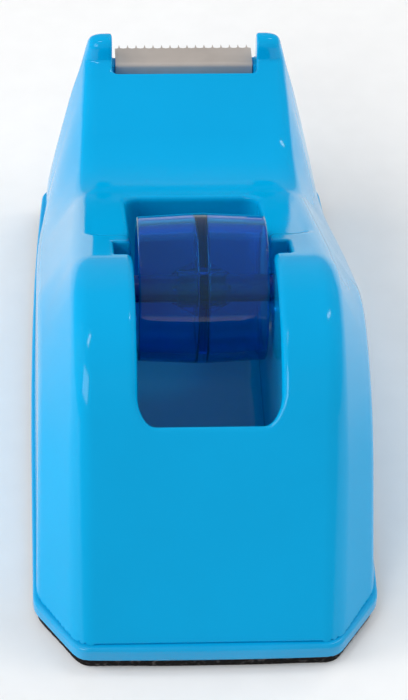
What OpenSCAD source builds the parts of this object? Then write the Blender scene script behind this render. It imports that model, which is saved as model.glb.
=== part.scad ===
// Desktop tape dispenser: weighted plastic body, toothed cutter and a translucent hub.
// Millimetres. The cutter points along +Y and +Z is up. Lengths along the body are
// written from its rear edge and moved once, so that the origin is the middle of the footprint.

/* [Base] */
// Widest width, across the skirt
body_w = 59.2; // [56:0.2:64]
// Length of the footprint, from the rear edge to the front edge
foot_len = 119; // [118:0.5:120]
// Width of the flat rear edge, between the two corner facets
rear_w = 44; // [40:0.2:46]
// How far forward the rear corner facets reach
facet_len = 11.4; // [9:0.2:14]
// How much each side draws in towards the front
side_taper = 2.9; // [2:0.1:4]
// Thickness of the foam pad under the base
foam_t = 2; // [1.5:0.1:2.5]
// Thickness of the double-sided sheet above the foam
sheet_t = 0.2; // [0.1:0.05:0.3]
// Thickness of the base plate, whose edge is the skirt
plate_t = 2.8; // [2.4:0.1:3.2]
// How far the skirt stands out from the body
lip = 0.5; // [0.3:0.1:0.8]

/* [Body] */
// Wall thickness
wall = 2.2; // [1.8:0.1:2.6]
// Forward lean of the rear face, along per unit of height
rear_lean = 0.52; // [0.48:0.01:0.56]
// Height of the crown of the body
crown_z = 52.4; // [51:0.1:54]
// Height at which the side walls end under the crown
shoulder_z = 37.7; // [36:0.1:39]
// Radius of the crown, seen from the side
crown_r = 22.7; // [20:0.5:25]
// Radius of the shoulder line, seen from the side
shoulder_r = 25; // [24:0.5:29]
// Downward slope of the top in front of the crown
top_fall = 0.505; // [0.49:0.005:0.52]
// Downward slope of the shoulder line
shoulder_fall = 0.546; // [0.53:0.002:0.56]
// Radius of the hollow between the well and the cutter
saddle_r = 18; // [14:0.5:24]
// Height of the tips of the two ears
ear_z = 40.9; // [40:0.1:41.6]
// Width across the ears at their tips
ear_w = 35.8; // [34:0.2:37]

/* [Well] */
// Inside width of the tape well
well_w = 24; // [23.4:0.1:24.6]
// Rear end of the well, from the rear edge
well_rear = 18.7; // [17.5:0.1:20]
// Front end of the well, from the rear edge
well_front = 87.9; // [86:0.1:90]
// Height of the floor of the well
well_floor = 7.2; // [6.8:0.1:9]
// Radius of the corners of the well
well_r = 3; // [2:0.5:4]

/* [Hub] */
// Distance of the axle from the rear edge
axle_y = 53; // [52:0.1:54]
// Height of the axle
axle_z = 38.8; // [38:0.1:40]
// Diameter of the axle
axle_d = 4.8; // [4:0.1:5]
// Width of the two axle slots where the axle lies
slot_w = 5; // [5:0.1:5.4]
// Distance across the outer ends of the two slots
slot_span = 30.2; // [29:0.2:31]
// Width of the hub
hub_w = 22.2; // [21:0.1:22.6]
// Diameter of the hub at its two ends
hub_end_d = 25; // [24.4:0.1:25.2]
// Diameter of the hub at the middle, where a tape core grips
hub_mid_d = 26; // [25.6:0.1:26.4]
// Wall thickness of the rim of the hub
hub_wall = 1.6; // [1.2:0.1:2]
// Diameter of the boss inside the hub
boss_d = 6.2; // [6:0.1:7]

/* [Cutter] */
// Width of the blade
blade_w = 25.8; // [25:0.1:26]
// Width of the notch between the ears
notch_w = 27.2; // [27:0.1:27.6]
// Number of teeth
teeth = 16; // [12:1:20]
// Length of the teeth
tooth_len = 1.2; // [0.8:0.1:1.5]
// Thickness of the blade
blade_t = 0.5; // [0.4:0.1:0.6]

/* [Hidden] */
$fn = 64;
plate_z = foam_t + sheet_t;
part_z = plate_z + plate_t;
// Footprint
half_w = body_w / 2;
rear_half = rear_w / 2;
taper_from = 30;
rear_bow = 0.3;
foam_inset = 0.6;
front_corner = [1.6, 2];
rear_share = 0.6;
// Body form: rear line, crown and fall of the top (t_) and of the shoulder (s_)
rear_y = 0.9;
shoulder_y = rear_y + facet_len + 0.1;
draft = 0.02;
lean_a = atan(rear_lean);
top_a = atan(top_fall);
shoulder_a = atan(shoulder_fall);
arc_steps = 10;
top_half = 22;
front_y = 124;
ear_back_y = 118.4;
ear_back_z = 36.8;
notch_y = 116.7;
ear_r = 2.6;
ear_c = [front_y - ear_r, ear_z - ear_r];
climb_a = 27;
ear_reach = norm(ear_c - [ear_back_y, ear_back_z]);
ear_a = atan2(ear_c[1] - ear_back_z, ear_c[0] - ear_back_y) + asin(ear_r / ear_reach);
tip_steps = 4;
// Shoulder at the front: how far it runs behind the hollow, where it levels out and its last stations
shoulder_lag = 3;
shoulder_spread = 14;
foot_z = 5.2;
ear_foot_y = 112.5;
tip_foot_y = [114, 117.4];
top_inset_share = 0.65;
tip_inset_share = 0.6;
// Longer than any piece, for cuts that run out of it
beyond = 60;
// Well
well_side = 1.8;
well_half = well_w / 2;
scoop_r = 26;
// Axle, hub
axle_gap = 0.05;
axle_len = slot_span - 0.4;
slot_lead = 0.28;
slot_rake = 0.05;
slot_rise = 20;
cheek_back = 5.5;
cheek_len = 12;
cheek_drop = 7;
boss_len = 8.2;
web_t = 1.4;
gusset_n = 4;
gusset_w = 0.9;
gusset_r = 4.9;
gusset_x = 3.8;
mouth_r = 0.4;
land_w = 1.6;
hub_bore_r = axle_d / 2 + axle_gap;
// Cutter
blade_y = 124.9;
blade_z = 34.7;
blade_back_y = 119.6;
blade_rise = 0.4;
flange_h = 5;
trough_z = 32;
seat_drop = 0.06;
slit_gap = 0.08;
slit_deep = 0.6;
slit_over = 0.8;
bed_wall = 3.5;
bed_t = 5;
tooth_root_w = 0.34;
// Screws and ballast
screw_x = 20;
screw_y = [20, 98];
screw_d = 3;
screw_head_d = 5.6;
screw_head_h = 1.7;
screw_len = 9;
boss_wall = 2;
ballast_gap = 0.6;
ballast_h = 13;
ballast_y = [13, 108];
tip_y = blade_y + tooth_len;
// Middle of the whole length, from the bowed rear edge to the tips of the teeth
mid_y = (tip_y - rear_bow) / 2;

// Half width of the skirt at distance y
function side_x(y) = half_w - (y > taper_from ? side_taper * pow((y - taper_from) / (foot_len - taper_from), 3) : 0);
// Half width of the flat top at distance y
function top_x(y) = top_half - max(0, y - crown_c[0]) * top_narrow;
// Points on an arc in the side view
function arc(c, r, a0, a1) =
    [for (i = [0:arc_steps]) let (a = a0 + (a1 - a0) * i / arc_steps) [c[0] + r * cos(a), c[1] + r * sin(a)]];
// Points on the arc round the tip of an ear, from angle a0 down to the front
function tip_arc(c, r, a0, a1) =
    [for (i = [0:tip_steps]) let (a = a0 + (a1 - a0) * i / tip_steps) [c[0] + r * cos(a), c[1] + r * sin(a)]];
// Centre of an arc of radius r whose top is at z and which meets a rear line that starts at y0
function crown_centre(y0, z, r) =
    [y0 + (z - r - part_z + r * sin(lean_a)) * rear_lean + r * cos(lean_a), z - r];

crown_c = crown_centre(rear_y, crown_z, crown_r);
top_narrow = (top_half - ear_w / 2) / (front_y - crown_c[0]);
shoulder_c = crown_centre(shoulder_y, shoulder_z, shoulder_r);
// Line along the top in front of the crown, as height over distance
fall_end = arc(crown_c, crown_r, 180 - lean_a, 90 - top_a)[arc_steps];
// Hollow that joins that line to the climb to the ears
hollow_corner_y = (ear_back_z - fall_end[1] - tan(climb_a) * ear_back_y - top_fall * fall_end[0])
                  / (-top_fall - tan(climb_a));
hollow_corner_z = fall_end[1] - top_fall * (hollow_corner_y - fall_end[0]);
hollow_t = saddle_r * tan((climb_a + top_a) / 2);
hollow_c = [hollow_corner_y - hollow_t * cos(top_a) + saddle_r * sin(top_a),
            hollow_corner_z + hollow_t * sin(top_a) + saddle_r * cos(top_a)];

// Side view of the top edge, moved inwards by g: rear line, crown, fall, hollow, climb
function top_line(g) = concat(
    [[rear_y - (part_z + g) * rear_lean + g / cos(lean_a), -g]],
    arc(crown_c, crown_r - g, 180 - lean_a, 90 - top_a),
    arc(hollow_c, saddle_r + g, 270 - top_a, 270 + climb_a),
    [[ear_back_y + g * sin(climb_a), ear_back_z - g * cos(climb_a)]],
    tip_arc(ear_c, ear_r - g * tip_inset_share, 90 + ear_a, 5));
// Side view of the shoulder, with one point for each point of the top edge
shoulder_end = arc(shoulder_c, shoulder_r, 180 - lean_a, 90 - shoulder_a)[arc_steps];
function shoulder_at(y, g) =
    max(foot_z - g, shoulder_end[1] - (y - shoulder_end[0]) * shoulder_fall - g / cos(shoulder_a));
function shoulder_line(g) = concat(
    [[shoulder_y - (part_z + g) * rear_lean + g / cos(lean_a), -g]],
    arc(shoulder_c, shoulder_r - g, 180 - lean_a, 90 - shoulder_a),
    [for (p = arc([hollow_c[0] - shoulder_lag, 0], shoulder_spread, 270 - top_a, 270 + climb_a))
        [p[0], shoulder_at(p[0], g)]],
    [[ear_foot_y, shoulder_at(ear_foot_y, g)]],
    [for (i = [0:tip_steps]) let (y = tip_foot_y[0] + (tip_foot_y[1] - tip_foot_y[0] - g) * i / tip_steps)
        [y, shoulder_at(y, g)]]);

// The body as a solid, moved inwards by g: rings across the body from the rear to the front
module body_form(g = 0) {
    top = top_line(g);
    shoulder = shoulder_line(g);
    n = len(top);
    skirt_in = lip + g;
    rings = [for (i = [0:n - 1])
        let (tx = top_x(top[i][0]) - g * top_inset_share,
             sx = side_x(max(0, shoulder[i][0])) - skirt_in - draft * max(0, shoulder[i][1]),
             low = [sx + draft * max(0, shoulder[i][1]), shoulder[i][0], -1 - g])
        [[-low[0], low[1], low[2]], [-sx, shoulder[i][0], shoulder[i][1]], [-tx, top[i][0], top[i][1]],
         [tx, top[i][0], top[i][1]], [sx, shoulder[i][0], shoulder[i][1]], low]];
    points = [for (ring = rings) for (p = ring) p];
    function cell(i, j) = i * 6 + j;
    strips = [for (i = [0:n - 2]) for (j = [0:5]) let (k = (j + 1) % 6)
        each [[cell(i, j), cell(i + 1, j), cell(i + 1, k)], [cell(i, j), cell(i + 1, k), cell(i, k)]]];
    caps = [[for (j = [0:5]) j], [for (j = [5:-1:0]) cell(n - 1, j)]];
    polyhedron(points, concat(strips, caps), convexity = 6);
}

// Outline of the footprint, moved inwards by g
module footprint(g = 0) {
    front = foot_len - g;
    sides = [for (i = [0:8]) let (y = facet_len + (front - front_corner[1] - facet_len) * i / 8) [side_x(y) - g, y]];
    right = concat([[rear_half - g * rear_share, g]], sides, [[side_x(front) - g - front_corner[0], front]]);
    left = [for (i = [len(right) - 1:-1:0]) [-right[i][0], right[i][1]]];
    polygon(concat([[0, g - rear_bow * (g > 0 ? 0 : 1)]], right, left));
}

// Moves a shape that is measured from the rear edge, so that the origin is the middle of the length
module placed() {
    translate([0, -mid_y, 0]) children();
}

// A side view drawn as [distance, height], made w wide across the body
module across(w) {
    translate([-w / 2, 0, 0]) rotate([90, 0, 90]) linear_extrude(w) children();
}

// Plan of the tape well, moved outwards by g
module well_plan(g = 0) {
    r = well_r + g;
    translate([-well_half - g + r, well_rear - g]) square([well_w + 2 * g - 2 * r, well_front - well_rear + 2 * g]);
    translate([-well_half - g, well_rear - g + r]) square([well_w + 2 * g, well_front - well_rear + 2 * g - 2 * r]);
    for (x = [-1, 1])
        for (y = [well_rear - g + r, well_front + g - r])
            translate([x * (well_half + g - r), y]) circle(r);
}

// Side view of the well: flat floor with a scoop up to its front end, moved outwards by g
module well_side_view(g = 0) {
    floor_z = well_floor - g;
    flat_end = well_front - scoop_r;
    translate([well_rear - g, floor_z]) square([flat_end - well_rear + g, beyond]);
    intersection() {
        translate([flat_end, floor_z]) square([scoop_r + g, scoop_r + g]);
        translate([flat_end, floor_z + scoop_r + g]) circle(scoop_r + g);
    }
    translate([flat_end, floor_z + scoop_r + g - 0.01]) square([scoop_r + g, beyond]);
}

module well_space(g = 0) {
    intersection() {
        translate([0, 0, -1]) linear_extrude(80) well_plan(g);
        across(body_w) well_side_view(g);
    }
}

// The two open-topped slots that the axle drops into, wider at the mouth
module axle_slots() {
    across(slot_span) translate([axle_y, axle_z]) {
        circle(slot_w / 2);
        polygon([[-slot_w / 2, 0], [slot_w / 2, 0], [slot_w / 2 + slot_lead * slot_rise, slot_rise],
                 [-slot_w / 2 - slot_rake * slot_rise, slot_rise]]);
    }
}

// Solid cheeks beside the well that carry the slots
module axle_cheeks() {
    cheek_w = slot_span + 2 * wall;
    across(cheek_w) translate([axle_y - cheek_back, axle_z - cheek_drop]) square([cheek_len, beyond]);
}

// Notch that takes the blade: seat under the blade, a trough behind it and a slit for its folded edge
module notch_cut() {
    floor_z = blade_z - blade_t - seat_drop;
    across(notch_w) polygon([[notch_y, trough_z], [blade_back_y, trough_z], [blade_back_y, floor_z + blade_rise],
                             [blade_y + 1, floor_z], [blade_y + 1, ear_z + 5], [notch_y, ear_z + 5]]);
    translate([-blade_w / 2 - slit_gap, blade_back_y - slit_gap, blade_z - flange_h - slit_deep])
        cube([blade_w + 2 * slit_gap, blade_t + 2 * slit_gap, flange_h + slit_deep + slit_over]);
}

// Solid part of the neck under the blade
module cutter_bed() {
    bed_y = notch_y - bed_wall;
    bed_z = trough_z - bed_t;
    across(2 * top_half) translate([bed_y, bed_z]) square([front_y + 1 - bed_y, ear_z + 5 - bed_z]);
}

module at_screws() {
    for (x = [-screw_x, screw_x])
        for (y = screw_y)
            translate([x, y, 0]) children();
}

module body_shell() {
    color([0.0, 0.66, 0.89])
        placed()
            difference() {
                intersection() {
                    body_form();
                    translate([-body_w, -5, part_z]) cube([2 * body_w, 150, 60]);
                }
                difference() {
                    body_form(wall);
                    well_space(well_side);
                    axle_cheeks();
                    cutter_bed();
                    at_screws() cylinder(r = screw_d / 2 + boss_wall, h = 60);
                }
                well_space();
                axle_slots();
                notch_cut();
                at_screws() cylinder(r = screw_d / 2 + axle_gap, h = part_z + screw_len);
            }
}

// Closing plate whose edge stands out as a skirt, with a tongue that locates the shell
module base_plate() {
    color([0.0, 0.62, 0.85])
        placed()
            difference() {
                translate([0, 0, plate_z]) linear_extrude(plate_t) footprint();
                at_screws() translate([0, 0, plate_z - 1]) cylinder(r = screw_d / 2 + 0.2, h = plate_t + 2);
                at_screws() translate([0, 0, plate_z - 1]) cylinder(r = screw_head_d / 2 + 0.2, h = screw_head_h + 1.1);
            }
}

module foam_pad() {
    color([0.07, 0.06, 0.07]) placed() linear_extrude(foam_t) footprint(foam_inset);
}

module adhesive_sheet() {
    color([0.85, 0.85, 0.82])
        placed() translate([0, 0, foam_t]) linear_extrude(sheet_t) footprint(foam_inset + 0.4);
}

// Cast-iron ring that lies on the base plate around the well
module ballast_weight() {
    clear = wall + ballast_gap;
    color([0.22, 0.22, 0.23])
        placed()
            difference() {
                intersection() {
                    body_form(clear);
                    translate([-body_w, ballast_y[0], part_z]) cube([2 * body_w, ballast_y[1] - ballast_y[0], ballast_h]);
                }
                linear_extrude(60) well_plan(well_side + ballast_gap);
                at_screws() cylinder(r = screw_d / 2 + boss_wall + ballast_gap, h = 60);
            }
}

module base_screws() {
    color([0.7, 0.7, 0.72])
        placed() at_screws() translate([0, 0, plate_z + 0.1]) {
            cylinder(r = screw_head_d / 2, h = screw_head_h - 0.1);
            cylinder(r = screw_d / 2, h = screw_len);
        }
}

// Plan of the blade: a strip whose front edge is cut into narrow teeth with hollow valleys
module blade_plan() {
    pitch = blade_w / teeth;
    valley = pitch - tooth_root_w;
    root_y = blade_y;
    outline = [for (i = [0:teeth - 1]) let (x = -blade_w / 2 + i * pitch)
        each [[x, root_y], [x + valley / 2, root_y + 0.12], [x + pitch / 2, root_y + tooth_len],
              [x + pitch - valley / 2, root_y + 0.12]]];
    polygon(concat(outline, [[blade_w / 2, root_y], [blade_w / 2, blade_back_y], [-blade_w / 2, blade_back_y]]));
}

// Toothed strip with its rear edge folded down into the slit
module cutter_blade() {
    back_z = blade_z + blade_rise;
    tip_z = blade_z - tooth_len * blade_rise / (blade_y - blade_back_y);
    color([0.78, 0.75, 0.72])
        placed()
            intersection() {
                translate([0, 0, blade_z - 10]) linear_extrude(20) blade_plan();
                across(body_w) polygon([[blade_back_y, back_z - flange_h], [blade_back_y + blade_t, back_z - flange_h],
                                        [blade_back_y + blade_t, back_z - blade_t], [tip_y, tip_z - blade_t],
                                        [tip_y, tip_z], [blade_back_y, back_z]]);
            }
}

module hub_axle() {
    color([0.0, 0.35, 0.65])
        placed() translate([-axle_len / 2, axle_y, axle_z]) rotate([0, 90, 0]) cylinder(r = axle_d / 2, h = axle_len);
}

// Rim crowned at the middle, web, boss and gussets, turned about the axle
module tape_hub() {
    end_r = hub_end_d / 2;
    mid_r = hub_mid_d / 2;
    half = hub_w / 2;
    color([0.02, 0.12, 0.55, 0.6])
        placed() translate([0, axle_y, axle_z]) rotate([0, 90, 0])
            difference() {
                union() {
                    rotate_extrude()
                        polygon([[end_r - hub_wall, -half], [end_r - mouth_r, -half], [end_r, -half + mouth_r],
                                 [mid_r, -land_w / 2], [mid_r, land_w / 2], [end_r, half - mouth_r],
                                 [end_r - mouth_r, half], [end_r - hub_wall, half], [mid_r - hub_wall, web_t / 2],
                                 [mid_r - hub_wall, -web_t / 2]]);
                    cylinder(r = mid_r - hub_wall / 2, h = web_t, center = true);
                    cylinder(r = boss_d / 2, h = boss_len, center = true);
                    for (i = [0:gusset_n - 1])
                        rotate(i * 360 / gusset_n + 45)
                            translate([0, gusset_w / 2, 0]) rotate([90, 0, 0]) linear_extrude(gusset_w)
                                polygon([[boss_d / 2 - 0.4, -gusset_x], [gusset_r, -web_t / 4],
                                         [gusset_r, web_t / 4], [boss_d / 2 - 0.4, gusset_x]]);
                }
                cylinder(r = hub_bore_r, h = hub_w + 2, center = true);
            }
}

body_shell();
base_plate();
foam_pad();
adhesive_sheet();
ballast_weight();
base_screws();
cutter_blade();
hub_axle();
tape_hub();
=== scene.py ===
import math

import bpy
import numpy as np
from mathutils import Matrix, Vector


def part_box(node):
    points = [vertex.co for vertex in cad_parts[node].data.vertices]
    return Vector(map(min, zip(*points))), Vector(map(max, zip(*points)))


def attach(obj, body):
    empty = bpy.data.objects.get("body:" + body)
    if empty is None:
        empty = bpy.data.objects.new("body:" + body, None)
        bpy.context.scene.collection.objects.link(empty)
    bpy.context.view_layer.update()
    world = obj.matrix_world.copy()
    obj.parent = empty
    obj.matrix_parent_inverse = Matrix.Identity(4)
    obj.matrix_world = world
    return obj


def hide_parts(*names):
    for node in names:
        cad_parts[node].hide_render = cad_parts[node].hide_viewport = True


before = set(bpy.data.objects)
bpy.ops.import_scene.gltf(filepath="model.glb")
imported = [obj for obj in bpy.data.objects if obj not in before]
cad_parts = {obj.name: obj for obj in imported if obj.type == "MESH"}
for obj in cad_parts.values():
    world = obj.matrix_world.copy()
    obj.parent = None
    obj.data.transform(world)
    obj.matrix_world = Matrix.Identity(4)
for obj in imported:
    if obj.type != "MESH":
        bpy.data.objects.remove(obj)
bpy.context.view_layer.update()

# A desktop tape dispenser: glossy plastic body, folded steel cutter and a translucent hub on a foam foot.
# Shapes are worked out in millimetres, with lengths along the body measured from its rear edge.
# Moulded pieces are surfaces of distance functions, which are negative inside the piece, so that every
# edge and corner can be rounded by its own radius.

# ---------------------------------------------------------------- sizes

MM = 0.001
REAR_BOW = 0.3
REAR_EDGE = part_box("base_plate")[0].y / MM + REAR_BOW


def box_mm(node):
    """Lowest and highest corner of a CAD node, in millimetres from the rear edge."""
    corners = np.array([list(corner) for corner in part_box(node)]) / MM
    corners[:, 1] -= REAR_EDGE
    return corners


shell_low, shell_high = box_mm("body_shell")
plate_low, plate_high = box_mm("base_plate")
foam_low, foam_high = box_mm("foam_pad")
blade_low, blade_high = box_mm("cutter_blade")
hub_low, hub_high = box_mm("tape_hub")
axle_low, axle_high = box_mm("hub_axle")

# Footprint
HALF_W = plate_high[0]
FOOT_LEN = plate_high[1]
PART_Z = plate_high[2]
REAR_HALF = 22
FACET_LEN = 11.4
SIDE_TAPER = 2.9
TAPER_FROM = 30
SIDE_CORNER = 0.9
REAR_CORNER = 1.6
FRONT_CORNER = 2.5
LIP = 0.5
BODY_SINK = 0.25
SKIRT_EDGE = 0.75
PLATE_FOOT_R = 0.3
FOAM_INSET = 0.68
FOAM_CELL = 0.07
FOAM_TOP_R = 0.2
FOAM_FOOT_R = 0.35

# Body: lean and fall are slopes, seen from the side
WALL = 2.2
DRAFT = 0.02
REAR_Y = 0.9
REAR_LEAN = 0.52
FRONT_LEAN = 0.17
CROWN_Z = shell_high[2]
CROWN_R = 22.7
TOP_FALL = 0.505
SHOULDER_Z = 37.7
SHOULDER_R = 25
SHOULDER_FALL = 0.546
SHOULDER_FOOT = 5.3
FOOT_HOLLOW_R = 8
SADDLE_R = 18
CLIMB_A = 27
EAR_BACK = (118.4, 36.8)
EAR_Z = 40.9
EAR_R = 2.6
TOP_HALF = 22
EAR_HALF = 18.1
FRONT_Y = shell_high[1]
TOP_EDGE = 2.5
FRONT_EDGE = 0.8
EDGE_FADE_Y = (96, 114)
EDGE_FADE_Z = (26, 34)
NECK_BULGE = 0.22
BULGE_FADE = (98, 114)
SIDE_EDGE = 0.9
LEAST_FLANK = 4

# Shallow step in the top that runs from beside the hub into the neck
STEP_HALF = 19.3
STEP_Y = 62
STEP_DEPTH = 0.45
STEP_R = 3
STEP_EDGE = 1.6
STEP_RUN_OUT = 20
STEP_FADE = (84, 100)

# Well, with the scoop at its front end
WELL_HALF = 12
WELL_REAR = 19.3
WELL_FRONT = 87.9
WELL_FLOOR = 7.2
WELL_R = 3
WELL_SIDE = 1.8
SCOOP_R = 26
RIM_R = 1.3
COVE_R = 2.4

# Axle, slots and hub
AXLE_Y, AXLE_Z = (axle_low[1:] + axle_high[1:]) / 2
AXLE_R = (axle_high[2] - axle_low[2]) / 2
AXLE_HALF = axle_high[0]
AXLE_END_R = 0.4
SLOT_R = AXLE_R + 0.1
SLOT_HALF = AXLE_HALF + 0.2
SLOT_LEAD = 0.28
SLOT_RAKE = 0.05
SLOT_END_R = 0.4
OPENING_EDGE = 0.45
CHEEK_AHEAD = 0.5
CHEEK_HALF = 6
CHEEK_DROP = 7
HUB_HALF = hub_high[0]
HUB_MID_R = (hub_high[2] - hub_low[2]) / 2
HUB_END_R = HUB_MID_R - 0.5
HUB_WALL = 1.6
HUB_LAND = 0.8
HUB_LIP_R = 0.35
HUB_INNER_R = 0.25
HUB_FILLET = 0.5
HUB_BORE_R = AXLE_R + 0.05
WEB_HALF = 0.7
BOSS_R = 3.1
BOSS_HALF = 4.1
RIB_R = 4.9
RIB_W = 0.9
RIB_EDGE = 0.2
RIBS = 4

# Cutter
BLADE_HALF = blade_high[0]
BLADE_BACK = blade_low[1]
BLADE_TIP = blade_high[1]
BLADE_TOP = blade_high[2]
BLADE_FOOT = blade_low[2]
BLADE_T = 0.5
BLADE_RISE = 0.4
TOOTH_LEN = 1.2
TOOTH_SHARE = 0.24
VALLEY = 0.14
TEETH = 16
NOTCH_HALF = 13.6
NOTCH_Y = 116.7
NOTCH_R = 0.9
TROUGH_Z = 32
SEAT_Z = 34.14
SEAT_EDGE = 0.2
TROUGH_EDGE = 0.5
SLIT_GAP = 0.08
SLIT_DEEP = 0.6
BED_WALL = 3.5
BED_T = 5

# Screws
SCREW_X = 20
SCREW_Y = (20, 98)
SCREW_R = 1.5
SCREW_LEN = 9
SCREW_HEAD = (3.0, 1.8)
SCREW_PLAY = 0.05
PLATE_PLAY = 0.2
BOSS_WALL = 2


# ---------------------------------------------------------------- distances

def smooth_max(a, b, width):
    """The larger of two distances, blended where they differ by less than width."""
    share = np.maximum(width - np.abs(a - b), 0) / width
    return np.maximum(a, b) + share * share * width / 4


def round_max(a, b, radius):
    """Intersection of two shapes whose faces meet squarely, with their edge rounded."""
    corner = np.hypot(np.maximum(a + radius, 0), np.maximum(b + radius, 0))
    return np.minimum(np.maximum(a, b), -radius) + corner


def rounded_box(u, v, half_u, half_v, radius):
    """Distance in a plane to a rectangle about the origin with rounded corners."""
    across = np.abs(u) - half_u + radius
    along = np.abs(v) - half_v + radius
    outside = np.hypot(np.maximum(across, 0), np.maximum(along, 0))
    return outside + np.minimum(np.maximum(across, along), 0) - radius


def rise(value, start, end):
    """0 before start, 1 after end and a smooth climb between."""
    share = np.clip((value - start) / (end - start), 0, 1)
    return share * share * (3 - 2 * share)


def on_arc(centre, radius, angle):
    """Point of the side view on a circle, at an angle in degrees from +Y."""
    turn = math.radians(angle)
    return (centre[0] + radius * math.cos(turn), centre[1] + radius * math.sin(turn))


def line(start, end):
    """Straight stretch of a side-view path: its distance, and which side of it a point is on."""
    length = math.dist(start, end)
    step_y = (end[0] - start[0]) / length
    step_z = (end[1] - start[1]) / length

    def measure(y, z):
        along = np.clip((y - start[0]) * step_y + (z - start[1]) * step_z, 0, length)
        off = np.hypot(y - start[0] - along * step_y, z - start[1] - along * step_z)
        return off, (z - start[1]) * step_y - (y - start[0]) * step_z

    return measure


def arc(centre, radius, first, last, bulge=1):
    """Round stretch of a side-view path. bulge is 1 where the path turns right and -1 where it turns left."""
    middle = math.radians((first + last) / 2)
    half = math.radians(abs(last - first) / 2)

    def measure(y, z):
        turn = np.arctan2(z - centre[1], y - centre[0]) - middle
        turn = (turn + math.pi) % (2 * math.pi) - math.pi
        turn = np.clip(turn, -half, half) + middle
        off = np.hypot(y - centre[0] - radius * np.cos(turn), z - centre[1] - radius * np.sin(turn))
        return off, bulge * (np.hypot(y - centre[0], z - centre[1]) - radius)

    return measure


def path_distance(path, y, z):
    """Distance to a side-view path, positive to the left of it."""
    nearest, signed = None, None
    for measure in path:
        off, side = measure(y, z)
        towards = np.copysign(off, side)
        if nearest is None:
            nearest, signed = off, towards
        else:
            signed = np.where(off < nearest, towards, signed)
            nearest = np.minimum(off, nearest)
    return signed


# ---------------------------------------------------------------- side views of the body

LEAN_A = math.degrees(math.atan(REAR_LEAN))
TOP_A = math.degrees(math.atan(TOP_FALL))
SHOULDER_A = math.degrees(math.atan(SHOULDER_FALL))
FRONT_A = math.degrees(math.atan(FRONT_LEAN))
FAR = 90


def crown_centre(start_y, top_z, radius):
    """Centre of an arc with its top at top_z, tangent to a rear line that starts at start_y."""
    climb = top_z - radius - PART_Z + radius * math.sin(math.radians(LEAN_A))
    return (start_y + climb * REAR_LEAN + radius * math.cos(math.radians(LEAN_A)), top_z - radius)


def crown_path(centre, radius, fall_a):
    """Rear line and crown, up to where the fall starts."""
    start = on_arc(centre, radius, 180 - LEAN_A)
    return [line(on_arc(start, FAR, 270 - LEAN_A), start), arc(centre, radius, 180 - LEAN_A, 90 - fall_a)]


def saddle_corner(fall_start):
    """Where the fall and the climb would meet without the hollow between them."""
    climb = math.tan(math.radians(CLIMB_A))
    gap = fall_start[1] + TOP_FALL * fall_start[0] + climb * EAR_BACK[0] - EAR_BACK[1]
    corner_y = gap / (TOP_FALL + climb)
    return (corner_y, fall_start[1] - TOP_FALL * (corner_y - fall_start[0]))


def top_paths():
    """The top line with the front, the same line running on past the ears, and the centre of the crown."""
    crown = crown_centre(REAR_Y, CROWN_Z, CROWN_R)
    fall_start = on_arc(crown, CROWN_R, 90 - TOP_A)
    corner = saddle_corner(fall_start)
    reach = SADDLE_R * math.tan(math.radians((CLIMB_A + TOP_A) / 2))
    fall_end = on_arc(corner, reach, 180 - TOP_A)
    hollow = on_arc(fall_end, SADDLE_R, 90 - TOP_A)
    climb_start = on_arc(hollow, SADDLE_R, 270 + CLIMB_A)
    ear = (FRONT_Y - EAR_R, EAR_Z - EAR_R)
    tangent_a = math.asin(EAR_R / math.dist(ear, EAR_BACK))
    ear_a = math.degrees(math.atan2(ear[1] - EAR_BACK[1], ear[0] - EAR_BACK[0]) + tangent_a)
    shared = crown_path(crown, CROWN_R, TOP_A) + [
        line(fall_start, fall_end),
        arc(hollow, SADDLE_R, 270 - TOP_A, 270 + CLIMB_A, -1),
        line(climb_start, EAR_BACK),
    ]
    ear_start = on_arc(ear, EAR_R, 90 + ear_a)
    front_start = on_arc(ear, EAR_R, -FRONT_A)
    ears = [
        line(EAR_BACK, ear_start),
        arc(ear, EAR_R, 90 + ear_a, -FRONT_A),
        line(front_start, on_arc(front_start, FAR, 270 - FRONT_A)),
    ]
    return shared + ears, shared + [line(EAR_BACK, on_arc(EAR_BACK, FAR, CLIMB_A))], crown


def shoulder_path():
    """Line that the side walls end at: rear, crown, fall, and level at the front."""
    crown = crown_centre(REAR_Y + FACET_LEN + 0.1, SHOULDER_Z, SHOULDER_R)
    fall_start = on_arc(crown, SHOULDER_R, 90 - SHOULDER_A)
    reach = FOOT_HOLLOW_R * math.tan(math.radians(SHOULDER_A / 2))
    corner = (fall_start[0] + (fall_start[1] - SHOULDER_FOOT) / SHOULDER_FALL, SHOULDER_FOOT)
    fall_end = on_arc(corner, reach, 180 - SHOULDER_A)
    level_start = (corner[0] + reach, SHOULDER_FOOT)
    return crown_path(crown, SHOULDER_R, SHOULDER_A) + [
        line(fall_start, fall_end),
        arc((level_start[0], SHOULDER_FOOT + FOOT_HOLLOW_R), FOOT_HOLLOW_R, 270 - SHOULDER_A, 270, -1),
        line(level_start, (level_start[0] + FAR, SHOULDER_FOOT)),
    ]


TOP_LINE, CREASE_LINE, CROWN = top_paths()
SHOULDER_LINE = shoulder_path()
SCOOP_START = WELL_FRONT - SCOOP_R
WELL_LINE = [
    line((WELL_REAR - FAR, WELL_FLOOR), (SCOOP_START, WELL_FLOOR)),
    arc((SCOOP_START, WELL_FLOOR + SCOOP_R), SCOOP_R, 270, 360, -1),
    line((WELL_FRONT, WELL_FLOOR + SCOOP_R), (WELL_FRONT, WELL_FLOOR + FAR)),
]


# ---------------------------------------------------------------- moulded shapes

def side_x(y):
    """Half width of the skirt."""
    return HALF_W - SIDE_TAPER * (np.maximum(y - TAPER_FROM, 0) / (FOOT_LEN - TAPER_FROM)) ** 3


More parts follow.
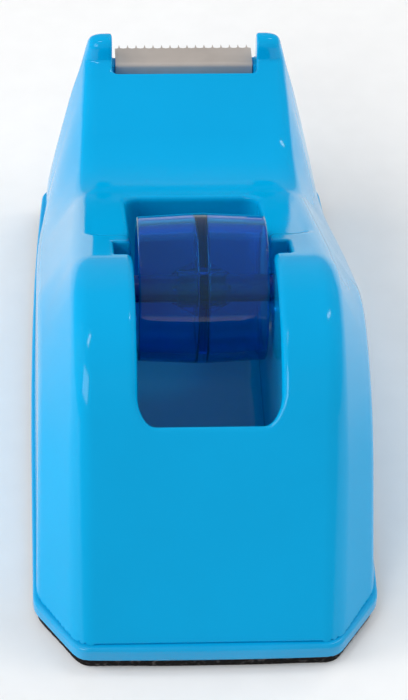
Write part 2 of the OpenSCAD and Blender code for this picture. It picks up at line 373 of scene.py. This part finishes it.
def form(x, y, z):
    """The body without its openings, and the distance above its top line."""
    top = path_distance(TOP_LINE, y, z)
    crease = path_distance(CREASE_LINE, y, z)
    shoulder = path_distance(SHOULDER_LINE, y, z)
    narrowing = (TOP_HALF - EAR_HALF) / (FRONT_Y - CROWN[0])
    edge_x = TOP_HALF - np.maximum(y - CROWN[0], 0) * narrowing
    wall_x = side_x(y) - LIP - DRAFT * z
    flank_width = np.maximum(shoulder - crease, LEAST_FLANK)
    spread = (wall_x - edge_x) / flank_width
    depth = -crease / flank_width
    swell = 2 * np.maximum(depth * (1 - depth), 0)
    bulge = NECK_BULGE * rise(y, *BULGE_FADE) * (wall_x - edge_x) * swell
    facet = (np.abs(x) - edge_x - bulge + spread * crease) / np.sqrt(1 + spread * spread)
    flank = smooth_max(facet, np.abs(x) - wall_x, SIDE_EDGE)
    low_front = rise(y, *EDGE_FADE_Y) * (1 - rise(z, *EDGE_FADE_Z))
    edge = TOP_EDGE - (TOP_EDGE - FRONT_EDGE) * low_front
    return smooth_max(flank, top, edge), top


def top_step(x, y, z, top):
    """Space of the shallow step, which fades out towards the ears."""
    length = FOOT_LEN - STEP_Y + STEP_R + STEP_RUN_OUT
    plan = rounded_box(x, y - STEP_Y - length / 2, STEP_HALF, length / 2, STEP_R)
    depth = STEP_DEPTH * (1 - rise(y, *STEP_FADE))
    return smooth_max(plan, -top - depth, STEP_EDGE)


def well(x, y, z):
    """Space of the well."""
    middle = (WELL_REAR + WELL_FRONT) / 2
    plan = rounded_box(x, y - middle, WELL_HALF, WELL_FRONT - middle, WELL_R)
    return round_max(plan, -path_distance(WELL_LINE, y, z), COVE_R)


def slots(x, y, z):
    """Space of the two axle slots, wider at the mouth."""
    along, up = y - AXLE_Y, z - AXLE_Z
    seat = np.hypot(along, up) - SLOT_R
    rear = (-along - SLOT_R - SLOT_RAKE * up) / math.hypot(1, SLOT_RAKE)
    front = (along - SLOT_R - SLOT_LEAD * up) / math.hypot(1, SLOT_LEAD)
    mouth = np.maximum(np.maximum(rear, front), -up)
    return round_max(np.abs(x) - SLOT_HALF, np.minimum(seat, mouth), SLOT_END_R)


def notch(x, y, z):
    """Space between the ears, with the trough behind the blade."""
    half_len = 20
    plan = rounded_box(x, y - NOTCH_Y - half_len, NOTCH_HALF, half_len, NOTCH_R)
    share = (BLADE_TIP - TOOTH_LEN - y) / (BLADE_TIP - TOOTH_LEN - BLADE_BACK)
    seat = round_max(plan, SEAT_Z + BLADE_RISE * share - z, SEAT_EDGE)
    trough = round_max(np.maximum(plan, y - BLADE_BACK), TROUGH_Z - z, TROUGH_EDGE)
    return np.minimum(seat, trough)


def slit(x, y, z):
    """Space that holds the folded edge of the blade."""
    across = np.abs(x) - BLADE_HALF - SLIT_GAP
    along = np.abs(y - BLADE_BACK - BLADE_T / 2) - BLADE_T / 2 - SLIT_GAP
    return np.maximum(np.maximum(across, along), BLADE_FOOT - SLIT_DEEP - z)


def screw_columns(x, y, radius):
    """Columns at the four screws."""
    along = np.minimum(np.abs(y - SCREW_Y[0]), np.abs(y - SCREW_Y[1]))
    return np.hypot(np.abs(x) - SCREW_X, along) - radius


def body_shell(x, y, z):
    """The moulded body: form less its openings, hollow from below, its lower rim let into the plate."""
    outer, top = form(x, y, z)
    hollow = well(x, y, z)
    solid = smooth_max(outer, -top_step(x, y, z, top), STEP_EDGE)
    solid = round_max(solid, -hollow, RIM_R)
    solid = round_max(solid, -slots(x, y, z), OPENING_EDGE)
    solid = round_max(solid, -notch(x, y, z), OPENING_EDGE)
    solid = np.maximum(solid, -slit(x, y, z))
    solid = np.maximum(solid, PART_Z - BODY_SINK - z)
    cheek = np.maximum(np.abs(y - AXLE_Y - CHEEK_AHEAD) - CHEEK_HALF, AXLE_Z - CHEEK_DROP - z)
    cheek = np.maximum(cheek, np.abs(x) - SLOT_HALF - WALL)
    bed = np.maximum(NOTCH_Y - BED_WALL - y, TROUGH_Z - BED_T - z)
    kept = np.minimum(np.minimum(hollow - WELL_SIDE, cheek), bed)
    kept = np.minimum(kept, screw_columns(x, y, SCREW_R + BOSS_WALL))
    cavity = np.maximum(outer + WALL, -kept)
    screw_hole = np.maximum(screw_columns(x, y, SCREW_R + SCREW_PLAY), z - PART_Z - SCREW_LEN)
    return np.maximum(solid, -np.minimum(cavity, screw_hole))


def footprint(x, y, inset):
    """Plan of the foot: straight sides that draw in, two rear facets and a slightly bowed rear edge."""
    side = np.abs(x) - side_x(y)
    run = HALF_W - REAR_HALF
    facet = ((np.abs(x) - REAR_HALF) * FACET_LEN - y * run) / math.hypot(FACET_LEN, run)
    rear = -y - REAR_BOW * (1 - (x / REAR_HALF) ** 2)
    flank = smooth_max(side, facet, SIDE_CORNER)
    outline = smooth_max(flank, rear, REAR_CORNER)
    return smooth_max(outline, y - FOOT_LEN, FRONT_CORNER) + inset


def base_plate(x, y, z):
    """Closing plate whose edge is the skirt."""
    plan = footprint(x, y, 0)
    plate = round_max(plan, z - PART_Z, SKIRT_EDGE)
    plate = round_max(plate, plate_low[2] - z, PLATE_FOOT_R)
    head_r, head_h = SCREW_HEAD
    head = np.maximum(screw_columns(x, y, head_r), z - plate_low[2] - head_h)
    return np.maximum(plate, -np.minimum(head, screw_columns(x, y, SCREW_R + PLATE_PLAY)))


def foam_pad(x, y, z):
    """Foam cut by a die: square edges, with small open cells round its side."""
    cells = np.sin(3.1 * x + 1.7 * y) * np.sin(2.3 * y - 2.9 * z) * np.sin(2.7 * x + 3.7 * z + 1)
    plan = footprint(x, y, FOAM_INSET) + FOAM_CELL * cells
    pad = round_max(plan, z - foam_high[2], FOAM_TOP_R)
    return round_max(pad, -z, FOAM_FOOT_R)


def tape_hub(x, y, z):
    """Rim crowned at the middle, web, boss with ribs, and the bore."""
    along, up = y - AXLE_Y, z - AXLE_Z
    radius = np.hypot(along, up)
    reach = np.abs(x)
    fall = (HUB_MID_R - HUB_END_R) / (HUB_HALF - HUB_LAND)
    outer = HUB_MID_R - fall * np.maximum(reach - HUB_LAND, 0)
    rim = round_max(radius - outer, reach - HUB_HALF, HUB_LIP_R)
    rim = round_max(rim, outer - HUB_WALL - radius, HUB_INNER_R)
    web = np.maximum(reach - WEB_HALF, radius - HUB_MID_R + HUB_WALL / 2)
    boss = round_max(radius - BOSS_R, reach - BOSS_HALF, HUB_INNER_R)
    turn = np.arctan2(up, along) * RIBS / 2
    off = radius * np.abs(np.cos(turn)) * 2 / RIBS
    slope = (RIB_R - BOSS_R) / (BOSS_HALF - WEB_HALF)
    ramp = (radius - RIB_R + slope * (reach - WEB_HALF)) / math.hypot(1, slope)
    ribs = round_max(round_max(off - RIB_W / 2, ramp, RIB_EDGE), radius - RIB_R, RIB_EDGE)
    joined = -smooth_max(-rim, -web, HUB_FILLET)
    joined = -smooth_max(-joined, -boss, HUB_FILLET)
    joined = -smooth_max(-joined, -ribs, RIB_EDGE)
    return round_max(joined, HUB_BORE_R - radius, RIB_EDGE)


def hub_axle(x, y, z):
    """Axle with rounded ends."""
    radius = np.hypot(y - AXLE_Y, z - AXLE_Z)
    return round_max(radius - AXLE_R, np.abs(x) - AXLE_HALF, AXLE_END_R)


# ---------------------------------------------------------------- meshes

SETTLE_ROUNDS = 5
SETTLE_STEP = 0.02
NORMAL_STEP = 0.03
LEAST_SLOPE = 0.05
CORNERS = np.array([(i, j, k) for i in (0, 1) for j in (0, 1) for k in (0, 1)])
EDGES = [(a, b) for a in range(8) for b in range(a + 1, 8) if np.abs(CORNERS[a] - CORNERS[b]).sum() == 1]


def slope_at(distance, points, step):
    """Gradient of a distance function."""
    sides = []
    for axis in range(3):
        ahead, behind = points.copy(), points.copy()
        ahead[:, axis] += step
        behind[:, axis] -= step
        sides.append((distance(*ahead.T) - distance(*behind.T)) / (2 * step))
    return np.stack(sides, 1)


def settle(distance, points, reach):
    """Points moved onto the surface, by at most reach each time."""
    for _ in range(SETTLE_ROUNDS):
        slope = slope_at(distance, points, SETTLE_STEP)
        size = np.maximum((slope * slope).sum(1), LEAST_SLOPE)
        step = -slope * (distance(*points.T) / size)[:, None]
        length = np.linalg.norm(step, axis=1, keepdims=True)
        points = points + step * np.minimum(1, reach / np.maximum(length, reach))
    return points


def cell_net(distance, low, high, cell):
    """One point in each cell that the surface crosses, and a face across each crossed edge of the grid."""
    axes = [np.arange(low[a] - cell, high[a] + 2 * cell, cell) for a in range(3)]
    shape = tuple(len(a) for a in axes)
    x, y, z = axes[0][:, None, None], axes[1][None, :, None], axes[2][None, None, :]
    values = np.broadcast_to(distance(x, y, z), shape)
    inside = values < 0
    count = np.zeros(tuple(n - 1 for n in shape), int)
    for i, j, k in CORNERS:
        count += inside[i:shape[0] - 1 + i, j:shape[1] - 1 + j, k:shape[2] - 1 + k]
    cells = np.argwhere((count > 0) & (count < 8))
    index = np.full(count.shape, -1)
    index[tuple(cells.T)] = np.arange(len(cells))
    at_corner = [values[tuple((cells + corner).T)] for corner in CORNERS]
    total, crossings = np.zeros((len(cells), 3)), np.zeros((len(cells), 1))
    for a, b in EDGES:
        crossed = ((at_corner[a] < 0) != (at_corner[b] < 0))[:, None]
        gap = at_corner[a] - at_corner[b]
        share = (at_corner[a] / np.where(gap == 0, 1, gap))[:, None]
        total += np.where(crossed, CORNERS[a] + share * (CORNERS[b] - CORNERS[a]), 0)
        crossings += crossed
    points = np.array([a[0] for a in axes]) + cell * (cells + total / crossings)
    return points, net_faces(inside, index)


def net_faces(inside, index):
    """The four-sided faces of a cell net, each turned outwards."""
    faces = []
    for axis in range(3):
        second, third = (axis + 1) % 3, (axis + 2) % 3
        ahead = np.roll(inside, -1, axis)
        for outward in (True, False):
            crossed = (inside & ~ahead) if outward else (~inside & ahead)
            at = np.argwhere(crossed)
            at = at[(at[:, axis] < inside.shape[axis] - 1) & (at[:, second] > 0) & (at[:, third] > 0)]
            ring = []
            for back in ((1, 1), (0, 1), (0, 0), (1, 0)):
                near = at.copy()
                near[:, second] -= back[0]
                near[:, third] -= back[1]
                ring.append(index[tuple(near.T)])
            ring = np.stack(ring if outward else ring[::-1], 1)
            faces.append(ring[(ring >= 0).all(1)])
    return np.concatenate(faces)


def to_row(points):
    """From millimetres past the rear edge to metres in the row frame."""
    return (points + [0, REAR_EDGE, 0]) * MM


def new_mesh(name, points, faces):
    """Mesh made from points and faces."""
    mesh = bpy.data.meshes.new(name)
    mesh.from_pydata(points.tolist(), [], faces.tolist() if hasattr(faces, "tolist") else faces)
    mesh.update()
    return mesh


def thinned(mesh, share):
    """The mesh with only a share of its faces, fewest where it is flat."""
    holder = bpy.data.objects.new("thinning", mesh)
    bpy.context.scene.collection.objects.link(holder)
    holder.modifiers.new("thin", "DECIMATE").ratio = share
    graph = bpy.context.evaluated_depsgraph_get()
    result = bpy.data.meshes.new_from_object(holder.evaluated_get(graph))
    bpy.data.objects.remove(holder)
    return result


def mesh_points(mesh):
    """Places of a mesh's points."""
    flat = np.zeros(len(mesh.vertices) * 3)
    mesh.vertices.foreach_get("co", flat)
    return flat.reshape(-1, 3)


def moulded(name, distance, low, high, cell, share):
    """Object for a distance function, with the normals of the true surface."""
    points, faces = cell_net(distance, low, high, cell)
    points = settle(distance, points, cell / 2)
    mesh = new_mesh(name, points, faces)
    if share < 1:
        mesh = thinned(mesh, share)
        points = settle(distance, mesh_points(mesh), cell / 4)
    normals = slope_at(distance, points, NORMAL_STEP)
    normals /= np.maximum(np.linalg.norm(normals, axis=1, keepdims=True), 1e-6)
    mesh.vertices.foreach_set("co", to_row(points).ravel())
    mesh.shade_smooth()
    mesh.normals_split_custom_set_from_vertices(normals.tolist())
    mesh.update()
    mesh.name = name
    return shown(name, mesh)


def shown(name, mesh):
    """Object that shows a mesh."""
    piece = bpy.data.objects.new(name, mesh)
    bpy.context.scene.collection.objects.link(piece)
    return piece


def tooth_reach(x):
    """How far a tooth stands out at x: a narrow point between shallow hollow valleys."""
    pitch = 2 * BLADE_HALF / TEETH
    share = np.abs((x + BLADE_HALF) / pitch % 1 - 0.5) * 2
    hollow = VALLEY * (1 - share) / (1 - TOOTH_SHARE)
    peak = 1 - share / TOOTH_SHARE
    return np.where(share < TOOTH_SHARE, VALLEY + (TOOTH_LEN - VALLEY) * peak, hollow)


def blade_columns():
    """Places across the blade where its front edge turns."""
    pitch = 2 * BLADE_HALF / TEETH
    stops = (0, 0.13, 0.26, 0.38, 0.44, 0.5, 0.56, 0.62, 0.74, 0.87)
    places = [(tooth + stop) * pitch - BLADE_HALF for tooth in range(TEETH) for stop in stops]
    return np.array(places + [BLADE_HALF])


def blade_profile(front):
    """Upper and lower side-view points of the blade, from its front edge to the foot of the fold."""
    bend_r, bend_steps, tip_share = 0.9, 6, 0.25
    slope = BLADE_RISE / (BLADE_TIP - TOOTH_LEN - BLADE_BACK)
    flat = [front + (BLADE_BACK + bend_r - front) * s for s in (0, 0.06, 0.35, 0.7, 1)]
    upper = [(y, BLADE_TOP - slope * (y - BLADE_BACK)) for y in flat]
    lower = [(y, z - BLADE_T * (tip_share if n == 0 else 1)) for n, (y, z) in enumerate(upper)]
    bend = (BLADE_BACK + bend_r, BLADE_TOP - slope * bend_r - bend_r)
    for step in range(1, bend_steps + 1):
        turn = 90 + 90 * step / bend_steps
        upper.append(on_arc(bend, bend_r, turn))
        lower.append(on_arc(bend, bend_r - BLADE_T, turn))
    upper.append((BLADE_BACK, BLADE_FOOT))
    lower.append((BLADE_BACK + BLADE_T, BLADE_FOOT))
    return upper, lower


def cutter_blade():
    """Toothed strip, folded down along its rear edge."""
    points, rows = [], []
    for x in blade_columns():
        front = BLADE_TIP - TOOTH_LEN + float(tooth_reach(x))
        upper, lower = blade_profile(front)
        ring = upper + lower[::-1]
        rows.append([len(points) + n for n in range(len(ring))])
        points += [(x, y, z) for y, z in ring]
    faces = []
    for near, far in zip(rows, rows[1:]):
        for n in range(len(near)):
            m = (n + 1) % len(near)
            faces.append((near[n], far[n], far[m], near[m]))
    half = len(rows[0]) // 2
    for row, flipped in ((rows[0], False), (rows[-1], True)):
        for n in range(half - 1):
            cap = (row[n], row[n + 1], row[-2 - n], row[-1 - n])
            faces.append(cap[::-1] if flipped else cap)
    mesh = new_mesh("cutter_strip", to_row(np.array(points)), faces)
    mesh.shade_smooth()
    mesh.set_sharp_from_angle(angle=math.radians(30))
    return shown("cutter_strip", mesh)


# ---------------------------------------------------------------- materials

def new_material(name):
    """A material with its node tree, shader and object coordinates."""
    material = bpy.data.materials.new(name)
    material.use_nodes = True
    tree = material.node_tree
    shader = tree.nodes["Principled BSDF"]
    place = tree.nodes.new("ShaderNodeTexCoord").outputs["Object"]
    return material, tree, shader, place


def noise(tree, place, scale, detail=2.0, stretch=None):
    """Value of a noise texture, with scale in cells per metre."""
    if stretch:
        mapping = tree.nodes.new("ShaderNodeMapping")
        mapping.inputs["Scale"].default_value = stretch
        tree.links.new(place, mapping.inputs["Vector"])
        place = mapping.outputs["Vector"]
    texture = tree.nodes.new("ShaderNodeTexNoise")
    texture.inputs["Scale"].default_value = scale
    texture.inputs["Detail"].default_value = detail
    tree.links.new(place, texture.inputs["Vector"])
    return texture.outputs["Fac"]


def spread(tree, value, low, high):
    """Noise value spread over a range."""
    node = tree.nodes.new("ShaderNodeMapRange")
    node.inputs["From Min"].default_value = 0.3
    node.inputs["From Max"].default_value = 0.7
    node.inputs["To Min"].default_value = low
    node.inputs["To Max"].default_value = high
    tree.links.new(value, node.inputs["Value"])
    return node.outputs["Result"]


def tint(tree, value, first, second, start=0.3, end=0.7):
    """Colour that follows a value from one colour to another."""
    ramp = tree.nodes.new("ShaderNodeValToRGB")
    ramp.color_ramp.elements[0].position = start
    ramp.color_ramp.elements[0].color = (*first, 1)
    ramp.color_ramp.elements[1].position = end
    ramp.color_ramp.elements[1].color = (*second, 1)
    tree.links.new(value, ramp.inputs["Fac"])
    return ramp.outputs["Color"]


def bump(tree, shader, value, depth, strength=1.0):
    """Relief of a depth in metres."""
    node = tree.nodes.new("ShaderNodeBump")
    node.inputs["Strength"].default_value = strength
    node.inputs["Distance"].default_value = depth
    tree.links.new(value, node.inputs["Height"])
    tree.links.new(node.outputs["Normal"], shader.inputs["Normal"])


def body_plastic():
    """Glossy moulded plastic, coloured right through, with a faint unevenness."""
    material, tree, shader, place = new_material("body_plastic")
    colour = tint(tree, noise(tree, place, 35, 3), (0.0, 0.355, 0.69), (0.0, 0.375, 0.73))
    tree.links.new(colour, shader.inputs["Base Color"])
    roughness = spread(tree, noise(tree, place, 260, 4), 0.07, 0.11)
    tree.links.new(roughness, shader.inputs["Roughness"])
    shader.inputs["IOR"].default_value = 1.5
    shader.inputs["Specular IOR Level"].default_value = 0.25
    bump(tree, shader, noise(tree, place, 420, 2), 0.00001, 0.5)
    return material


def skirt_plastic():
    """The same plastic as the body, slightly duller."""
    material, tree, shader, place = new_material("skirt_plastic")
    colour = tint(tree, noise(tree, place, 60, 3), (0.0, 0.335, 0.66), (0.0, 0.36, 0.71))
    tree.links.new(colour, shader.inputs["Base Color"])
    tree.links.new(spread(tree, noise(tree, place, 300, 4), 0.17, 0.26), shader.inputs["Roughness"])
    shader.inputs["IOR"].default_value = 1.5
    bump(tree, shader, noise(tree, place, 500, 3), 0.00001, 0.6)
    return material


def foam():
    """Black closed-cell foam with pale specks where cells are cut open."""
    material, tree, shader, place = new_material("foam")
    cells = tree.nodes.new("ShaderNodeTexVoronoi")
    cells.inputs["Scale"].default_value = 1500
    tree.links.new(place, cells.inputs["Vector"])
    specks = noise(tree, place, 900, 3)
    colour = tint(tree, specks, (0.006, 0.005, 0.005), (0.11, 0.10, 0.095), 0.56, 0.74)
    tree.links.new(colour, shader.inputs["Base Color"])
    tree.links.new(spread(tree, specks, 0.85, 0.97), shader.inputs["Roughness"])
    shader.inputs["Specular IOR Level"].default_value = 0.25
    bump(tree, shader, cells.outputs["Distance"], 0.00025)
    return material


def blade_steel():
    """Satin steel strip, drawn along its length."""
    material, tree, shader, place = new_material("blade_steel")
    grain = noise(tree, place, 500, 4, (0.03, 1, 1))
    colour = tint(tree, noise(tree, place, 120, 3), (0.53, 0.475, 0.435), (0.62, 0.56, 0.515))
    tree.links.new(colour, shader.inputs["Base Color"])
    tree.links.new(spread(tree, grain, 0.34, 0.48), shader.inputs["Roughness"])
    shader.inputs["Metallic"].default_value = 0.4
    bump(tree, shader, grain, 0.00001, 0.5)
    return material


def hub_plastic():
    """Clear plastic, dyed deep blue right through, so that edges seen along the wall are darkest."""
    material, tree, shader, place = new_material("hub_plastic")
    colour = tint(tree, noise(tree, place, 90, 2), (0.02, 0.46, 0.88), (0.03, 0.52, 0.92))
    tree.links.new(colour, shader.inputs["Base Color"])
    tree.links.new(spread(tree, noise(tree, place, 300, 3), 0.03, 0.07), shader.inputs["Roughness"])
    shader.inputs["Transmission Weight"].default_value = 0.96
    shader.inputs["IOR"].default_value = 1.5
    bump(tree, shader, noise(tree, place, 160, 2), 0.00002, 0.4)
    dye = tree.nodes.new("ShaderNodeVolumeAbsorption")
    dye.inputs["Color"].default_value = (0.0, 0.38, 0.72, 1)
    dye.inputs["Density"].default_value = 210
    tree.links.new(dye.outputs["Volume"], tree.nodes["Material Output"].inputs["Volume"])
    return material


def axle_plastic():
    """Plain blue plastic, satin where it turns."""
    material, tree, shader, place = new_material("axle_plastic")
    colour = tint(tree, noise(tree, place, 120, 2), (0.005, 0.045, 0.27), (0.008, 0.06, 0.33))
    tree.links.new(colour, shader.inputs["Base Color"])
    wear = noise(tree, place, 600, 3, (0.1, 1, 1))
    tree.links.new(spread(tree, wear, 0.2, 0.34), shader.inputs["Roughness"])
    bump(tree, shader, noise(tree, place, 700, 2), 0.00001, 0.6)
    return material


def ballast_iron():
    """Cast iron, rough from the sand mould."""
    material, tree, shader, place = new_material("ballast_iron")
    rough = noise(tree, place, 380, 6)
    tree.links.new(tint(tree, rough, (0.05, 0.048, 0.047), (0.12, 0.115, 0.11)), shader.inputs["Base Color"])
    tree.links.new(spread(tree, rough, 0.55, 0.8), shader.inputs["Roughness"])
    shader.inputs["Metallic"].default_value = 0.7
    bump(tree, shader, rough, 0.0002)
    return material


def screw_steel():
    """Zinc-plated steel."""
    material, tree, shader, place = new_material("screw_steel")
    mottle = noise(tree, place, 900, 3)
    tree.links.new(tint(tree, mottle, (0.58, 0.59, 0.60), (0.72, 0.72, 0.72)), shader.inputs["Base Color"])
    tree.links.new(spread(tree, mottle, 0.22, 0.36), shader.inputs["Roughness"])
    shader.inputs["Metallic"].default_value = 1.0
    bump(tree, shader, mottle, 0.00002)
    return material


def adhesive():
    """Double-sided film: pale and slightly glossy."""
    material, tree, shader, place = new_material("adhesive")
    cloud = noise(tree, place, 250, 4)
    tree.links.new(tint(tree, cloud, (0.50, 0.50, 0.47), (0.60, 0.60, 0.57)), shader.inputs["Base Color"])
    tree.links.new(spread(tree, cloud, 0.35, 0.5), shader.inputs["Roughness"])
    bump(tree, shader, cloud, 0.00003)
    return material


def floor_paint():
    """Pale matt studio paper."""
    material, tree, shader, place = new_material("floor_paint")
    grain = noise(tree, place, 180, 4)
    tree.links.new(tint(tree, grain, (0.88, 0.88, 0.88), (0.90, 0.90, 0.90)), shader.inputs["Base Color"])
    tree.links.new(spread(tree, grain, 0.75, 0.85), shader.inputs["Roughness"])
    return material


# ---------------------------------------------------------------- pieces

def dress(piece, material, body, node):
    """Gives a piece its material and body, and lets it stand for a CAD node."""
    piece.data.materials.clear()
    piece.data.materials.append(material)
    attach(piece, body)
    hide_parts(node)


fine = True
body_low = shell_low - [0, 0, BODY_SINK]
body = moulded("body", body_shell, body_low, shell_high, 0.5 if fine else 0.8, 0.42 if fine else 1)
dress(body, body_plastic(), "dispenser", "body_shell")

skirt = moulded("skirt_plate", base_plate, plate_low, plate_high, 0.4, 0.4)
dress(skirt, skirt_plastic(), "dispenser", "base_plate")

pad = moulded("foam_foot", foam_pad, foam_low, foam_high, 0.4, 0.5)
dress(pad, foam(), "dispenser", "foam_pad")

strip = cutter_blade()
dress(strip, blade_steel(), "dispenser", "cutter_blade")

hub = moulded("hub_wheel", tape_hub, hub_low, hub_high, 0.3 if fine else 0.5, 0.5 if fine else 1)
dress(hub, hub_plastic(), "hub", "tape_hub")

axle = moulded("axle_pin", hub_axle, axle_low, axle_high, 0.3, 0.4)
dress(axle, axle_plastic(), "axle", "hub_axle")

for node, material in (
    ("ballast_weight", ballast_iron()),
    ("base_screws", screw_steel()),
    ("adhesive_sheet", adhesive()),
):
    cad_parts[node].data.materials.clear()
    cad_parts[node].data.materials.append(material)


# ---------------------------------------------------------------- studio

def studio_floor():
    """Wide flat floor with a curve up behind the object."""
    half, back, radius = 3.0, 1.6, 0.8
    profile = [(-half, 0.0), (back, 0.0)]
    for turn in np.linspace(0.1, math.pi / 2, 12):
        profile.append((back + radius * math.sin(turn), radius * (1 - math.cos(turn))))
    profile.append((back + radius, 3.0))
    points = [(x, y, z) for y, z in profile for x in (-half, half)]
    faces = [(2 * n, 2 * n + 1, 2 * n + 3, 2 * n + 2) for n in range(len(profile) - 1)]
    mesh = new_mesh("floor", np.array(points), faces)
    mesh.shade_smooth()
    floor = shown("floor", mesh)
    floor.data.materials.append(floor_paint())


def softbox(name, place, size, power, mirrored=True):
    """Area light that points at the middle of the object; mirrored says if glossy surfaces show it."""
    data = bpy.data.lights.new(name, "AREA")
    data.shape = "RECTANGLE"
    data.size, data.size_y = size
    data.energy = power
    light = bpy.data.objects.new(name, data)
    light.location = place
    light.rotation_euler = (Vector((0, 0, 0.02)) - Vector(place)).to_track_quat("-Z", "Y").to_euler()
    light.visible_glossy = mirrored
    bpy.context.scene.collection.objects.link(light)


def studio_world():
    """Even pale surroundings."""
    world = bpy.data.worlds.new("studio")
    world.use_nodes = True
    backdrop = world.node_tree.nodes["Background"]
    backdrop.inputs["Color"].default_value = (1, 1, 1, 1)
    backdrop.inputs["Strength"].default_value = 0.28
    bpy.context.scene.world = world


def studio_camera():
    """Long lens from behind and above, turned a little to the right and rolled a little."""
    yaw, pitch, roll = (math.radians(a) for a in (4.213, 43.491, 2.286))
    data = bpy.data.cameras.new("camera")
    data.sensor_width = 36
    data.lens = 171.1
    data.clip_end = 20
    camera = bpy.data.objects.new("camera", data)
    aim = Matrix.Rotation(-yaw, 4, "Z") @ Matrix.Rotation(math.pi / 2 - pitch, 4, "X")
    place = Matrix.Translation((-0.03024, -0.4341, 0.42755))
    camera.matrix_world = place @ aim @ Matrix.Rotation(roll, 4, "Z")
    bpy.context.scene.collection.objects.link(camera)
    bpy.context.scene.camera = camera


studio_floor()
studio_world()
studio_camera()
softbox("left", (-0.9, -0.1, 0.7), (0.7, 0.9), 5.2, mirrored=False)
softbox("right", (0.9, 0.1, 0.7), (0.5, 0.9), 2.3, mirrored=False)
softbox("left_low", (-1.0, 0.0, 0.3), (0.8, 0.5), 3.2, mirrored=False)
softbox("right_low", (1.0, 0.0, 0.3), (0.8, 0.5), 2.9, mirrored=False)
softbox("rear_left", (-0.7, -0.9, 0.8), (0.6, 0.6), 4.9)
softbox("rear", (0.0, -1.1, 1.0), (0.8, 0.5), 0.8, mirrored=False)
softbox("front", (0.0, 1.1, 0.95), (0.9, 0.5), 1.3, mirrored=False)
softbox("front_right", (0.8, 0.9, 0.8), (0.6, 0.6), 3.2, mirrored=False)
softbox("glint", (-0.25, -0.2, 1.2), (0.1, 0.3), 1.0)
softbox("glint_right", (0.45, 0.25, 1.1), (0.08, 0.3), 0.8)
bpy.context.scene.view_settings.view_transform = "Standard"
